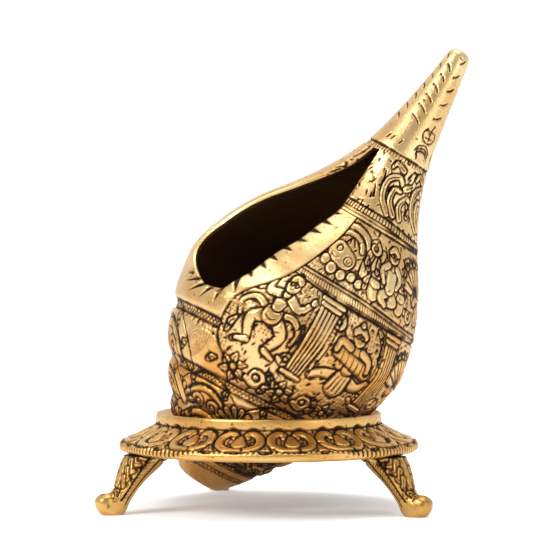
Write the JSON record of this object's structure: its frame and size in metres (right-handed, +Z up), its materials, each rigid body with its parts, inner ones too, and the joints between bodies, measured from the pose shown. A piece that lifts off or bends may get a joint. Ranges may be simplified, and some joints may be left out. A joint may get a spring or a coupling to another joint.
{
  "type": "cast brass chank shell on a tripod stand",
  "caption": "Hollow cast brass chank shell with carved whorls, canal upwards, resting loose in a round flanged ring stand on curved legs.",
  "frame": {"origin": "on the floor, under the middle of the whole object's bounding box", "axes": "+Z up, the shell's mouth faces -Y and -X, and its canal leans towards +X"},
  "size_m": [0.162, 0.1438, 0.2012],
  "materials": {
    "brass_shell": "satin",
    "brass_stand": "satin"
  },
  "bodies": {
    "root": {"shell": "brass_shell", "stand_ring": "brass_stand", "leg_left": "brass_stand", "leg_right": "brass_stand", "leg_back": "brass_stand"}
  },
  "joints": []
}
